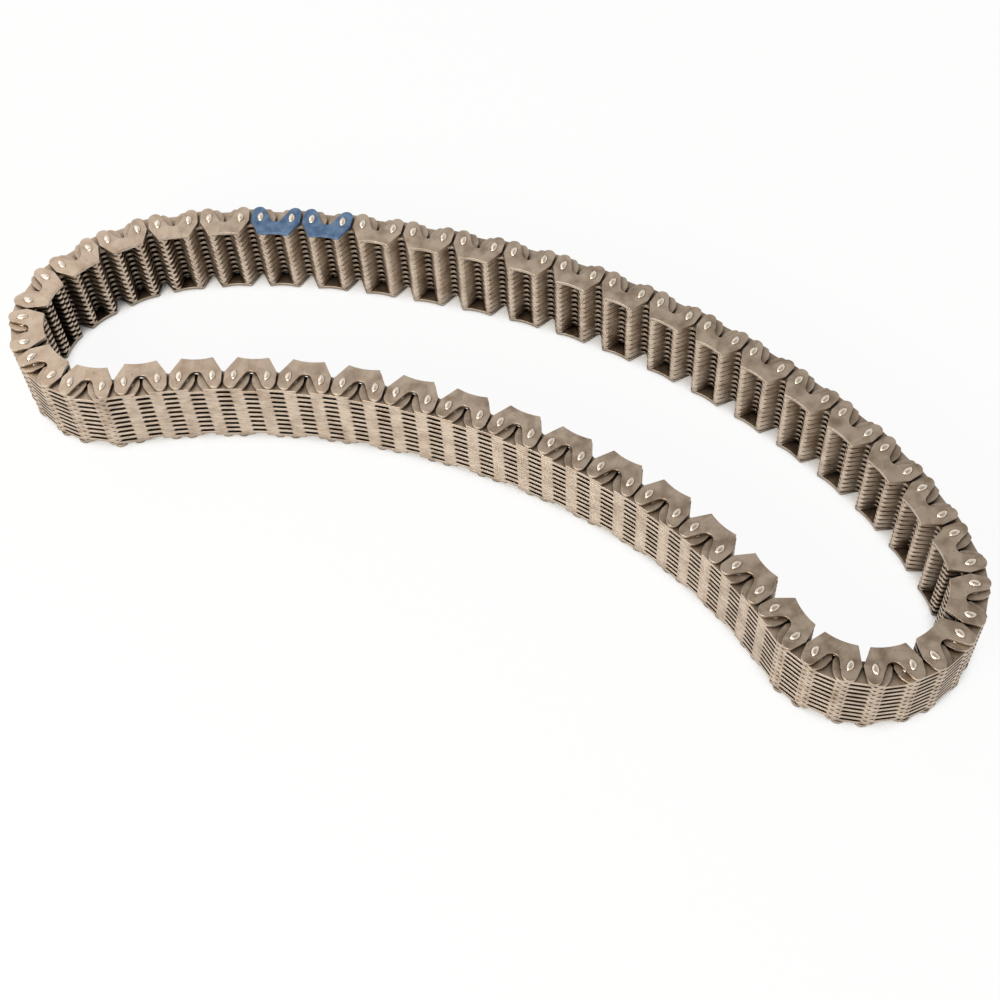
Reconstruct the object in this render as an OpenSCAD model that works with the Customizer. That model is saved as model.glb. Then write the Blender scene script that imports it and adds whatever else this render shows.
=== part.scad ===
// Endless silent chain with rocker joints, lying on its side in a bent, bean-shaped loop.
// X runs along the loop, Y across it and Z along the pins. The teeth point into the loop.
// Guide rows and inner rows follow each other, and their plates interleave on the pins.
// Shares are parts of the pitch, so that the plates keep their shape at another pitch.

/* [Chain] */
// Distance from one pivot to the next
pitch = 9.525; // [6.35:0.005:12.7]
// Link plates side by side in an inner row
inner_count = 11; // [4:1:16]
// Thickness of every plate
plate_t = 1.25; // [0.8:0.05:1.5]
// Air between plates that lie on each other
layer_gap = 0.07; // [0.05:0.01:0.2]
// Length of a pin that stands out of a guide plate
pin_proud = 0.5; // [0.2:0.05:1]
// Angle that the first row lies at, to X
first_heading = 164; // [150:1:175]
// Stretches of the loop: how many pivots each has, and the degrees that they turn in all
stretches = [
    [4, 8], [4, 12], [5, 41], [8, 139], [11, -26], [8, -16],
    [8, -26], [10, 169], [6, 23], [8, 15], [8, 17], [4, 4]
]; // [pivots, degrees]

/* [Plates] */
// Reach of a plate's end past its pivot
end_reach_share = 0.448; // [0.44:0.002:0.46]
// Reach of a plate's back behind the pivot line
back_share = 0.528; // [0.5:0.002:0.55]
// Reach of a link plate's straight back past its pivot
back_reach_share = 0.205; // [0.16:0.005:0.24]
// Radius of the round ends of a link plate
end_radius_share = 0.63; // [0.55:0.01:0.75]
// Lean of the tooth flanks, from square to the pivot line
flank_lean = 30; // [28:0.5:31]
// Height at which the two flanks of a tooth would meet
apex_share = 0.952; // [0.94:0.002:0.97]
// Radius of a tooth's tip
tip_radius_share = 0.147; // [0.12:0.005:0.16]
// Radius at the bottom of the crotch between a plate's teeth
crotch_radius_share = 0.19; // [0.12:0.005:0.22]

/* [Guide plates] */
// Height of the toe over the pivot line
toe_share = 0.808; // [0.79:0.002:0.82]
// Radius of the toe's corners
toe_corner_share = 0.063; // [0.05:0.002:0.08]
// Depth of the hollow along the toe
toe_hollow_share = 0.068; // [0.04:0.002:0.08]
// Radius at the top of the notch in the back
notch_radius_share = 0.262; // [0.24:0.002:0.27]
// Height of the centre of that radius, behind the pivot line
notch_centre_share = 0.063; // [0.05:0.002:0.08]
// Lean of the notch's sides
notch_lean = 28; // [24:0.5:30]

/* [Rocker joints] */
// Radius of the round backs of pin and rocker, about the pivot
joint_radius_share = 0.215; // [0.2:0.005:0.225]
// Radius of the round faces that roll on each other
rolling_radius_share = 0.336; // [0.3:0.005:0.4]
// Air between the two rolling faces
face_gap = 0.1; // [0.06:0.01:0.2]
// Air around a pin or rocker in a link plate
swing_clearance = 0.07; // [0.05:0.01:0.1]
// Air around a pin in the guide plates that it is pressed into
press_clearance = 0.03; // [0.02:0.005:0.05]

/* [Hidden] */
$fn = 48;

steel = [0.66, 0.61, 0.55];
bright_steel = [0.85, 0.81, 0.75];
marker_blue = [0.29, 0.43, 0.62];

// Rows and segments: a guide row and the inner row after it follow each other all round
row_count = sum_of([for (s = stretches) s[0]]);
rows_per_segment = 6;
segment_count = row_count / rows_per_segment;
guide_rows = [0, 2, 4];
inner_rows = [1, 3, 5];
marker_rows = [2, 4];

// Layers from the bottom: even ones belong to the guide rows and odd ones to the inner rows
layer_count = 2 * inner_count + 1;
layer_step = plate_t + layer_gap;
stack_height = layer_count * plate_t + (layer_count - 1) * layer_gap;
pin_length = stack_height + 2 * pin_proud;
function layer_z(layer) = pin_proud + layer * layer_step;

// How far a line runs from the centre of the round corner that it meets, against its radius:
// a little less than the whole, so that line and arc cross in one clean point
meeting_share = 0.995;

// Plate outline, in a frame whose origin is halfway between the plate's pivots
half_pitch = pitch / 2;
plate_reach = half_pitch + end_reach_share * pitch;
back = back_share * pitch;
back_corner_x = half_pitch + back_reach_share * pitch;
end_r = end_radius_share * pitch;
end_x = plate_reach - meeting_share * end_r;
end_y = sqrt(pow(end_r, 2) - pow(back_corner_x - end_x, 2)) - back;
apex_y = apex_share * pitch;
tip_r = tip_radius_share * pitch;
tip_y = apex_y - meeting_share * tip_r / sin(flank_lean);
crotch_r = crotch_radius_share * pitch;
crotch_y = apex_y - half_pitch / tan(flank_lean) + meeting_share * crotch_r / sin(flank_lean);
shoulder_y = apex_y - (plate_reach - half_pitch) / tan(flank_lean);

// Guide plate outline
toe_y = toe_share * pitch;
toe_corner_r = toe_corner_share * pitch;
toe_corner_y = toe_y - toe_corner_r;
toe_corner_x = half_pitch + (apex_y - toe_corner_y) * tan(flank_lean)
    - meeting_share * toe_corner_r / cos(flank_lean);
toe_hollow = toe_hollow_share * pitch;
toe_hollow_r = (pow(toe_corner_x, 2) + pow(toe_hollow, 2)) / (2 * toe_hollow);
notch_r = notch_radius_share * pitch;
notch_y = -notch_centre_share * pitch;
notch_side = met(notch_r, notch_lean) + [0, notch_y];
// An ear's arc meets the notch's side, the back and the end wall
ear_span = [plate_reach, -back] - notch_side;
ear_r = (ear_span * ahead(notch_lean)) / (meeting_share + cos(notch_lean) - sin(notch_lean));
ear_centre = [plate_reach - ear_r, ear_r - back];

// Rocker joint sections
joint_r = joint_radius_share * pitch;
rolling_r = rolling_radius_share * pitch;
link_hole_r = joint_r + swing_clearance;

// The loop: headings of the rows, with three stretches adjusted until the loop closes
left_end = 3;
near_middle = 5;
right_end = 7;
full_turn = 360;
upright = 90;
small_turn = 0.01;
closing_steps = 6;
planned = [for (s = stretches) s[1]];
surplus = sum_of(planned) - full_turn;

function sum_of(v) = v * [for (x = v) 1];
function adjusted(more) = [
    for (i = [0:len(stretches) - 1])
        planned[i]
            + (i == left_end ? more.x : 0)
            + (i == right_end ? more.y : 0)
            - (i == near_middle ? more.x + more.y + surplus : 0)
];
function turns(more) = let (degrees = adjusted(more)) [
    for (i = [0:len(stretches) - 1])
        for (k = [1:stretches[i][0]])
            degrees[i] / stretches[i][0]
];
function headings(more) = let (t = turns(more)) [
    for (i = 0, h = first_heading; i < len(t); h = h + t[i], i = i + 1) h
];
function ahead(angle) = [cos(angle), sin(angle)];
function opening(more) = pitch * sum_of_points([for (h = headings(more)) ahead(h)]);
function sum_of_points(v) = [sum_of([for (p = v) p.x]), sum_of([for (p = v) p.y])];
// One step of Newton's method in two unknowns
function closer(more) = let (
    gap = opening(more),
    by_x = (opening(more + [small_turn, 0]) - gap) / small_turn,
    by_y = (opening(more + [0, small_turn]) - gap) / small_turn,
    area = by_x.x * by_y.y - by_y.x * by_x.y
) more - [gap.x * by_y.y - gap.y * by_y.x, by_x.x * gap.y - by_x.y * gap.x] / area;
function closed(more, steps) = steps == 0 ? more : closed(closer(more), steps - 1);

heading = headings(closed([0, 0], closing_steps));
open_pivots = [
    for (i = 0, p = [0, 0]; i < row_count; p = p + pitch * ahead(heading[i]), i = i + 1) p
];

// Points of a row, from its first pivot, its heading and a place in the plate's frame
function placed(i, place) = open_pivots[i] + (place.x + half_pitch) * ahead(heading[i])
    + place.y * ahead(heading[i] + upright);

// The loop's box, from the corners of every plate, brings its middle to the origin
link_corners = [
    [back_corner_x, -back, 0], [-back_corner_x, -back, 0],
    [half_pitch, tip_y, tip_r], [-half_pitch, tip_y, tip_r]
];
ears = [[ear_centre.x, ear_centre.y, ear_r], [-ear_centre.x, ear_centre.y, ear_r]];
corners = [
    for (i = [0:row_count - 1])
        for (c = i % 2 == 0 ? concat(link_corners, ears) : link_corners)
            let (p = placed(i, c)) [p.x, p.y, c[2]]
];
low_corner = [
    min([for (c = corners) c.x - c[2]]),
    min([for (c = corners) c.y - c[2]])
];
high_corner = [
    max([for (c = corners) c.x + c[2]]),
    max([for (c = corners) c.y + c[2]])
];
loop_middle = (low_corner + high_corner) / 2;
pivots = [for (p = open_pivots) p - loop_middle];

// Puts a row's pieces in their place, with the teeth towards the inside of the loop
module in_row(i) {
    translate(pivots[i])
        rotate(heading[i])
            translate([half_pitch, 0])
                children();
}

// Puts each row of a segment in its place
module in_rows(segment, rows) {
    for (r = rows)
        in_row((segment - 1) * rows_per_segment + r)
            children();
}

// Where a line that leans by an angle meets an arc about the origin
function met(r, lean) = meeting_share * r * ahead(lean);

// A shape at one end of a plate, and its mirror image at the other
module at_both_ends() {
    children();
    mirror([1, 0])
        children();
}

// Section of a pin or rocker: a round back, and a flatter round face that rolls on its partner
module joint_section(extra) {
    intersection() {
        circle(r = joint_r + extra);
        translate([face_gap / 2 + rolling_r, 0])
            circle(r = rolling_r + extra);
    }
}

// What a square corner at the back loses, to leave a round end
module corner_cut() {
    translate([end_x, end_y])
        difference() {
            mirror([0, 1])
                square(pitch);
            circle(r = end_r);
        }
}

// Two teeth with a crotch between them, a straight back, round ends and two joint holes
module link_outline() {
    flank = met(tip_r, flank_lean) + [0, tip_y];
    crotch = met(crotch_r, -flank_lean) + [0, crotch_y];
    right = [
        [plate_reach, -back], [plate_reach, shoulder_y],
        [half_pitch + flank.x, flank.y], [half_pitch - flank.x, flank.y], crotch
    ];
    left = [for (i = [len(right) - 1:-1:0]) [-right[i].x, right[i].y]];
    difference() {
        union() {
            polygon(concat(right, left));
            at_both_ends()
                translate([half_pitch, tip_y])
                    circle(r = tip_r);
        }
        translate([0, crotch_y])
            circle(r = crotch_r);
        at_both_ends() {
            translate([half_pitch, 0])
                circle(r = link_hole_r);
            corner_cut();
        }
    }
}

// A broad toe with a shallow hollow, two ears with a notch between them and two pin holes
module guide_outline() {
    corner = met(toe_corner_r, flank_lean) + [toe_corner_x, toe_corner_y];
    corner_top = met(toe_corner_r, upright) + [toe_corner_x, toe_corner_y];
    ear = ear_centre - met(ear_r, notch_lean);
    right = [
        notch_side, ear, [ear_centre.x, -back], [plate_reach, ear_centre.y],
        [plate_reach, shoulder_y], corner, corner_top
    ];
    left = [for (i = [len(right) - 1:-1:0]) [-right[i].x, right[i].y]];
    difference() {
        union() {
            polygon(concat(right, left));
            at_both_ends() {
                translate(ear_centre)
                    circle(r = ear_r);
                translate([toe_corner_x, toe_corner_y])
                    circle(r = toe_corner_r);
            }
        }
        translate([0, toe_y - toe_hollow + toe_hollow_r])
            circle(r = toe_hollow_r);
        translate([0, notch_y])
            circle(r = notch_r);
        at_both_ends()
            translate([half_pitch, 0])
                joint_section(press_clearance);
    }
}

// Plates of one outline, one in each of the layers
module plates(layers) {
    for (layer = layers)
        translate([0, 0, layer_z(layer)])
            linear_extrude(plate_t)
                children();
}

// The toothed link plates of a segment's guide rows and inner rows
module link_plates(segment) {
    color(steel) {
        in_rows(segment, guide_rows)
            plates([2:2:layer_count - 3])
                link_outline();
        in_rows(segment, inner_rows)
            plates([1:2:layer_count - 2])
                link_outline();
    }
}

// The outermost plates of a segment's guide rows, but not the two painted ones
module guide_plates(segment) {
    top_rows = [for (r = guide_rows) if (segment > 1 || !is_marker(r)) r];
    color(steel) {
        in_rows(segment, guide_rows)
            plates([0])
                guide_outline();
        in_rows(segment, top_rows)
            plates([layer_count - 1])
                guide_outline();
    }
}
function is_marker(row) = len(search(row, marker_rows)) > 0;

// Two neighbouring top guide plates, painted to mark the chain's timing
module marker_guide_plates() {
    color(marker_blue)
        in_rows(1, marker_rows)
            plates([layer_count - 1])
                guide_outline();
}

// The long pins, held by the guide plates, whose holes have the pins' own outline
module pins(segment) {
    color(bright_steel)
        in_rows(segment, guide_rows)
            at_both_ends()
                translate([half_pitch, 0, 0])
                    linear_extrude(pin_length)
                        joint_section(0);
}

// The short rockers, which roll on the pins and are kept in by the guide plates
module rockers(segment) {
    color(bright_steel)
        in_rows(segment, inner_rows)
            at_both_ends()
                translate([half_pitch, 0, layer_z(1)])
                    linear_extrude(stack_height - 2 * layer_step)
                        joint_section(0);
}

function numbered(name, segment) = str(name, segment < 10 ? "_0" : "_", segment);

marker_guide_plates();
for (s = [1:segment_count]) {
    link_plates(s);
    guide_plates(s);
    pins(s);
    rockers(s);
}
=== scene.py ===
import math

import bpy
from mathutils import Matrix, Vector

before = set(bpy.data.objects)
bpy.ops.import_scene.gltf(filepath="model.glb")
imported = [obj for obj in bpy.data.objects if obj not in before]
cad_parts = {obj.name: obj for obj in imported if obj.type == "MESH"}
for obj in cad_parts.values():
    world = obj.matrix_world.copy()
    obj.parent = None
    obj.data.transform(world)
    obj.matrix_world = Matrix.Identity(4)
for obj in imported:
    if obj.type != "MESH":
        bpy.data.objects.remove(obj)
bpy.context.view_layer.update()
print("frame loaded:", len(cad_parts), "nodes")


def linear(hexCode):
    parts = [int(hexCode[i:i + 2], 16) / 255 for i in (1, 3, 5)]
    return [p / 12.92 if p <= 0.04045 else ((p + 0.055) / 1.055) ** 2.4 for p in parts] + [1.0]


def metres(mm):
    return mm / 1000


def perMetre(mm):
    # Scale of a pattern whose waves are this long, where one unit of the model is a metre
    return 1000 / mm


def addNode(tree, kind, inputs=None, give=None, **settings):
    # Sets a node's settings and inputs, and returns the output asked for, or the node itself.
    # On a colour mix, inputs 6 and 7 are the two colours and output 2 is the result.
    node = tree.nodes.new(kind)
    for name, value in settings.items():
        setattr(node, name, value)
    for name, value in (inputs or {}).items():
        if isinstance(value, bpy.types.NodeSocket):
            tree.links.new(value, node.inputs[name])
        else:
            node.inputs[name].default_value = value
    return node if give is None else node.outputs[give]


def newMaterial(name):
    material = bpy.data.materials.new(name)
    material.use_nodes = True
    material.node_tree.nodes.clear()
    return material, material.node_tree


# Link plates and guide plates
plate = {
    "clean": "#d6c5b2",
    "oily": "#b5a08b",
    "patchMm": 5.0,  # across a patch of oil
    "patchDetail": 3.0,
    "patchFades": (0.42, 0.72),
    "speck": "#5a4c40",
    "speckMm": 0.9,
    "speckFades": (0.70, 0.78),
    # Dark brown of the painted shade and grime in the gaps and hollows
    "shadeAndGrime": "#2c2016",
    "shadeAndGrimeMm": 6.0,  # faces that stand nearer than this to others get painted shade, and hold grime
    "shadeAndGrimeFades": (0.2, 0.92),
    "shadeAndGrimeRays": 6,
    "plateToPlate": 0.12,  # how much darker the darkest plate is than the brightest
    "shearMm": 0.16,  # between the die's lines, coarser than they are, since finer ones don't show
    "shearDetail": 1.0,
    "shearSquash": (1.0, 1.0, 0.1),
    "tumbleMm": 0.22,  # between the dents of tumbling, coarser than they are too
    "reliefMm": 0.03,
    "reliefStrength": 0.25,
    "roughDry": 0.50,
    "roughInOil": 0.36,
    "brokenEdgeMm": 0.09,
    "edgeSteps": 2,
}


def makeStampedSteel():
    # Blanked spring steel, hardened, tumbled and oiled. The eye gets a warm satin grey with tan
    # patches of oil, a few dark specks, and the fine lines that the die draws down sheared edges.
    material, tree = newMaterial("stampedSpringSteel")
    place = addNode(tree, "ShaderNodeTexCoord", give="Object")
    patches = addNode(tree, "ShaderNodeTexNoise", {
        "Vector": place, "Scale": perMetre(plate["patchMm"]),
        "Detail": plate["patchDetail"]}, "Fac")
    oil = addNode(tree, "ShaderNodeMapRange", {
        "Value": patches, "From Min": plate["patchFades"][0],
        "From Max": plate["patchFades"][1]}, "Result")
    colour = addNode(tree, "ShaderNodeMix", {
        0: oil, 6: linear(plate["clean"]), 7: linear(plate["oily"])}, 2, data_type="RGBA")
    specks = addNode(tree, "ShaderNodeTexNoise", {
        "Vector": place, "Scale": perMetre(plate["speckMm"])}, "Fac")
    speck = addNode(tree, "ShaderNodeMapRange", {
        "Value": specks, "From Min": plate["speckFades"][0],
        "From Max": plate["speckFades"][1]}, "Result")
    colour = addNode(tree, "ShaderNodeMix", {
        0: speck, 6: colour, 7: linear(plate["speck"])}, 2, data_type="RGBA")

    # Painted shade and grime: the gaps between plates and the bottom of the tooth spaces are painted
    # darker, for the shade that falls there and for the oil and dust that stay there
    openness = addNode(tree, "ShaderNodeAmbientOcclusion", {
        "Distance": metres(plate["shadeAndGrimeMm"])}, "AO", samples=plate["shadeAndGrimeRays"])
    clearOfShadeAndGrime = addNode(tree, "ShaderNodeMapRange", {
        "Value": openness, "From Min": plate["shadeAndGrimeFades"][0],
        "From Max": plate["shadeAndGrimeFades"][1]}, "Result")
    colour = addNode(tree, "ShaderNodeMix", {
        0: clearOfShadeAndGrime, 6: linear(plate["shadeAndGrime"]), 7: colour}, 2, data_type="RGBA")

    # No two plates come out of the tumbler alike
    island = addNode(tree, "ShaderNodeNewGeometry", give="Random Per Island")
    shade = addNode(tree, "ShaderNodeMapRange", {
        "Value": island, "To Min": 1.0 - plate["plateToPlate"]}, "Result")
    grey = addNode(tree, "ShaderNodeCombineColor", {"Red": shade, "Green": shade, "Blue": shade}, "Color")
    colour = addNode(tree, "ShaderNodeMix", {
        0: 1.0, 6: colour, 7: grey}, 2, data_type="RGBA", blend_type="MULTIPLY")

    # Lines that hardly change with height show on the sheared edges only
    drawn = addNode(tree, "ShaderNodeVectorMath", {
        0: place, 1: plate["shearSquash"]}, "Vector", operation="MULTIPLY")
    lines = addNode(tree, "ShaderNodeTexNoise", {
        "Vector": drawn, "Scale": perMetre(plate["shearMm"]),
        "Detail": plate["shearDetail"]}, "Fac")
    dents = addNode(tree, "ShaderNodeTexNoise", {
        "Vector": place, "Scale": perMetre(plate["tumbleMm"])}, "Fac")
    height = addNode(tree, "ShaderNodeMath", {0: lines, 1: dents}, "Value", operation="ADD")
    shader = addNode(tree, "ShaderNodeBsdfPrincipled", {
        "Base Color": colour,
        "Metallic": 1.0,
        "Roughness": addNode(tree, "ShaderNodeMapRange", {
            "Value": oil, "To Min": plate["roughDry"], "To Max": plate["roughInOil"]}, "Result"),
        "Normal": addNode(tree, "ShaderNodeBump", {
            "Height": height, "Strength": plate["reliefStrength"],
            "Distance": metres(plate["reliefMm"])}, "Normal"),
    }, "BSDF")
    addNode(tree, "ShaderNodeOutputMaterial", {"Surface": shader})
    return material


# Pins and rockers
joint = {
    "bright": "#fff2e2",
    "film": "#e4d6c4",
    "filmMm": 1.5,  # across a smear of oil
    "filmFades": (0.40, 0.75),
    "drawnMm": 0.12,  # between the lines of drawing and grinding, coarser than they are
    "drawnDetail": 1.0,
    "drawnSquash": (1.0, 1.0, 0.05),
    "reliefMm": 0.02,
    "reliefStrength": 0.12,
    "roughBright": 0.30,
    "roughInFilm": 0.42,
    "crownMm": 1.5,  # how far in from the rim the ends are crowned
    "crownRays": 8,
    "brokenEdgeMm": 0.15,
    "edgeSteps": 3,
}


def makeGroundSteel():
    # Drawn bearing steel, ground and polished. The eye gets bright, crowned pin ends, each with a
    # soft spot of light.
    material, tree = newMaterial("groundBearingSteel")
    place = addNode(tree, "ShaderNodeTexCoord", give="Object")
    smears = addNode(tree, "ShaderNodeTexNoise", {
        "Vector": place, "Scale": perMetre(joint["filmMm"])}, "Fac")
    film = addNode(tree, "ShaderNodeMapRange", {
        "Value": smears, "From Min": joint["filmFades"][0],
        "From Max": joint["filmFades"][1]}, "Result")
    drawn = addNode(tree, "ShaderNodeVectorMath", {
        0: place, 1: joint["drawnSquash"]}, "Vector", operation="MULTIPLY")
    lines = addNode(tree, "ShaderNodeTexNoise", {
        "Vector": drawn, "Scale": perMetre(joint["drawnMm"]),
        "Detail": joint["drawnDetail"]}, "Fac")
    crown = addNode(tree, "ShaderNodeBevel", {
        "Radius": metres(joint["crownMm"])}, "Normal", samples=joint["crownRays"])
    shader = addNode(tree, "ShaderNodeBsdfPrincipled", {
        "Base Color": addNode(tree, "ShaderNodeMix", {
            0: film, 6: linear(joint["bright"]), 7: linear(joint["film"])}, 2, data_type="RGBA"),
        "Metallic": 1.0,
        "Roughness": addNode(tree, "ShaderNodeMapRange", {
            "Value": film, "To Min": joint["roughBright"],
            "To Max": joint["roughInFilm"]}, "Result"),
        "Normal": addNode(tree, "ShaderNodeBump", {
            "Height": lines, "Strength": joint["reliefStrength"],
            "Distance": metres(joint["reliefMm"]), "Normal": crown}, "Normal"),
    }, "BSDF")
    addNode(tree, "ShaderNodeOutputMaterial", {"Surface": shader})
    return material


# The two guide plates that mark the timing
marker = {
    "thin": "#6482a2",
    "thick": "#2c4a74",
    "pooledMm": 3.0,  # across a place where the lacquer has pooled
    "pooledDetail": 3.0,
    "pooledFades": (0.35, 0.75),
    "strokeMm": 0.7,  # between the brush's hairs
    "strokeSquash": (0.15, 1.0, 1.0),
    "reliefMm": 0.05,
    "reliefStrength": 0.3,
    "ior": 1.5,
    "roughness": (0.30, 0.48),
}


def makeMarkerPaint():
    # Thin blue marking lacquer, brushed on. The eye gets uneven blue, darker where it has pooled.
    material, tree = newMaterial("brushedBlueLacquer")
    place = addNode(tree, "ShaderNodeTexCoord", give="Object")
    pools = addNode(tree, "ShaderNodeTexNoise", {
        "Vector": place, "Scale": perMetre(marker["pooledMm"]),
        "Detail": marker["pooledDetail"]}, "Fac")
    pooled = addNode(tree, "ShaderNodeMapRange", {
        "Value": pools, "From Min": marker["pooledFades"][0],
        "From Max": marker["pooledFades"][1]}, "Result")
    brushed = addNode(tree, "ShaderNodeVectorMath", {
        0: place, 1: marker["strokeSquash"]}, "Vector", operation="MULTIPLY")
    strokes = addNode(tree, "ShaderNodeTexNoise", {
        "Vector": brushed, "Scale": perMetre(marker["strokeMm"])}, "Fac")
    shader = addNode(tree, "ShaderNodeBsdfPrincipled", {
        "Base Color": addNode(tree, "ShaderNodeMix", {
            0: pooled, 6: linear(marker["thin"]), 7: linear(marker["thick"])}, 2, data_type="RGBA"),
        "IOR": marker["ior"],
        "Roughness": addNode(tree, "ShaderNodeMapRange", {
            "Value": strokes, "To Min": marker["roughness"][0],
            "To Max": marker["roughness"][1]}, "Result"),
        "Normal": addNode(tree, "ShaderNodeBump", {
            "Height": strokes, "Strength": marker["reliefStrength"],
            "Distance": metres(marker["reliefMm"])}, "Normal"),
    }, "BSDF")
    addNode(tree, "ShaderNodeOutputMaterial", {"Surface": shader})
    return material


# A weld joins the faces of a mesh, and a bevel takes the sharpness off its edges
edges = {"weldMm": 0.005, "sharperThan": 35}  # degrees between two faces


def dress(node, material, piece):
    node.data.materials.clear()
    node.data.materials.append(material)
    node.modifiers.new("weld", "WELD").merge_threshold = metres(edges["weldMm"])
    bevel = node.modifiers.new("brokenEdges", "BEVEL")
    bevel.width = metres(piece["brokenEdgeMm"])
    bevel.segments = piece["edgeSteps"]
    bevel.angle_limit = math.radians(edges["sharperThan"])
    bevel.use_clamp_overlap = False
    bevel.harden_normals = True


def dressNodes():
    plates = (makeStampedSteel(), plate)
    joints = (makeGroundSteel(), joint)
    finishes = {
        "link_plates": plates,
        "guide_plates": plates,
        "marker_guide_plates": (makeMarkerPaint(), plate),
        "pins": joints,
        "rockers": joints,
    }
    for name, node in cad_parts.items():
        family = name.rstrip("_0123456789")  # most names end in the number of their segment
        dress(node, *finishes[family])
    print("dressed", len(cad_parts), "nodes")


def seenDirectly(tree):
    # 1 in the picture and in reflections, and 0 where it only lights other things
    path = addNode(tree, "ShaderNodeLightPath").outputs
    seen = addNode(tree, "ShaderNodeMath", {
        0: path["Is Camera Ray"], 1: path["Is Glossy Ray"]}, "Value", operation="MAXIMUM")
    return addNode(tree, "ShaderNodeMath", {
        0: seen, 1: path["Is Transmission Ray"]}, "Value", operation="MAXIMUM")


# White paper under the chain: part of its white is its own, so that shadows on it stay faint,
# but not between the plates, where hardly any light comes in
paper = {
    "colour": "#f6f6f4",
    "size": 6.0,  # metres
    "ownWhite": 0.94,
    "darkMm": 8.0,  # plates that stand nearer than this take the white away
    "darkFades": (0.3, 0.6),
    "darkRays": 6,
}


def makeFloor():
    half = paper["size"] / 2
    mesh = bpy.data.meshes.new("floor")
    mesh.from_pydata([(-half, -half, 0), (half, -half, 0), (half, half, 0), (-half, half, 0)],
                     [], [(0, 1, 2, 3)])
    floor = bpy.data.objects.new("floor", mesh)
    bpy.context.collection.objects.link(floor)
    material, tree = newMaterial("whitePaper")
    lit = addNode(tree, "ShaderNodeBsdfDiffuse", {"Color": linear(paper["colour"])}, "BSDF")
    own = addNode(tree, "ShaderNodeEmission", {"Color": linear("#ffffff"), "Strength": 1.0}, "Emission")
    openness = addNode(tree, "ShaderNodeAmbientOcclusion", {
        "Distance": metres(paper["darkMm"])}, "AO", samples=paper["darkRays"])
    white = addNode(tree, "ShaderNodeMapRange", {
        "Value": openness, "From Min": paper["darkFades"][0], "From Max": paper["darkFades"][1],
        "To Max": paper["ownWhite"]}, "Result")
    share = addNode(tree, "ShaderNodeMath", {
        0: seenDirectly(tree), 1: white}, "Value", operation="MULTIPLY")
    surface = addNode(tree, "ShaderNodeMixShader", {0: share, 1: lit, 2: own}, "Shader")
    addNode(tree, "ShaderNodeOutputMaterial", {"Surface": surface})
    floor.data.materials.append(material)


# The room: white walls, and a duller ceiling that the tops of the plates reflect
room = {
    "walls": "#ffffff",
    "ceiling": "#8a8580",
    "ceilingFades": (0.35, 0.9),  # sines of the angle above the horizon
    "light": 0.7,
}


def makeRoom():
    world = bpy.data.worlds.new("paleStudio")
    bpy.context.scene.world = world
    world.use_nodes = True
    tree = world.node_tree
    tree.nodes.clear()
    direction = addNode(tree, "ShaderNodeTexCoord", give="Generated")
    sine = addNode(tree, "ShaderNodeSeparateXYZ", {"Vector": direction}, "Z")
    climb = addNode(tree, "ShaderNodeMapRange", {
        "Value": sine, "From Min": room["ceilingFades"][0],
        "From Max": room["ceilingFades"][1]}, "Result")
    background = addNode(tree, "ShaderNodeBackground", {
        "Color": addNode(tree, "ShaderNodeMix", {
            0: climb, 6: linear(room["walls"]), 7: linear(room["ceiling"])}, 2, data_type="RGBA"),
        "Strength": addNode(tree, "ShaderNodeMapRange", {
            "Value": seenDirectly(tree), "To Min": room["light"]}, "Result"),
    }, "Background")
    addNode(tree, "ShaderNodeOutputWorld", {"Surface": background})


# Two soft boxes; places and sizes in metres, power in watts
softBoxes = {
    "frontLeft": {"at": (-0.65, -0.68, 0.62), "size": 0.5, "power": 13.0, "tint": "#fffaf2"},
    "backLeft": {"at": (-0.55, 0.6, 0.75), "size": 0.6, "power": 1.4, "tint": "#fff8f4"},
}


def makeSoftBoxes():
    for name, box in softBoxes.items():
        light = bpy.data.lights.new(name, "AREA")
        light.size = box["size"]
        light.energy = box["power"]
        light.color = linear(box["tint"])[:3]
        lamp = bpy.data.objects.new(name, light)
        bpy.context.collection.objects.link(lamp)
        lamp.location = box["at"]
        lamp.rotation_mode = "QUATERNION"
        lamp.rotation_quaternion = (-lamp.location).to_track_quat("-Z", "Y")


# From the front and above, as the photograph was taken; metres and degrees
view = {
    "target": (0.0089, -0.0306, 0.0313),
    "distance": 0.5638,
    "elevation": 57.39,
    "roll": -4.09,
    "lensMm": 62.24,
    "nearest": 0.01,  # what is closer than this isn't drawn
}


def makeCamera():
    climb, roll = math.radians(view["elevation"]), math.radians(view["roll"])
    back = Vector((0, -math.cos(climb), math.sin(climb)))
    level = Vector((1, 0, 0))
    upright = back.cross(level)
    right = level * math.cos(roll) + upright * math.sin(roll)
    up = upright * math.cos(roll) - level * math.sin(roll)
    data = bpy.data.cameras.new("camera")
    data.lens = view["lensMm"]
    data.clip_start = view["nearest"]
    camera = bpy.data.objects.new("camera", data)
    bpy.context.collection.objects.link(camera)
    turn = Matrix((right, up, back)).transposed().to_4x4()
    camera.matrix_world = Matrix.Translation(Vector(view["target"]) + back * view["distance"]) @ turn
    bpy.context.scene.camera = camera


bpy.context.scene.view_settings.view_transform = "Standard"
dressNodes()
makeFloor()
makeRoom()
makeSoftBoxes()
makeCamera()
print("studio ready")
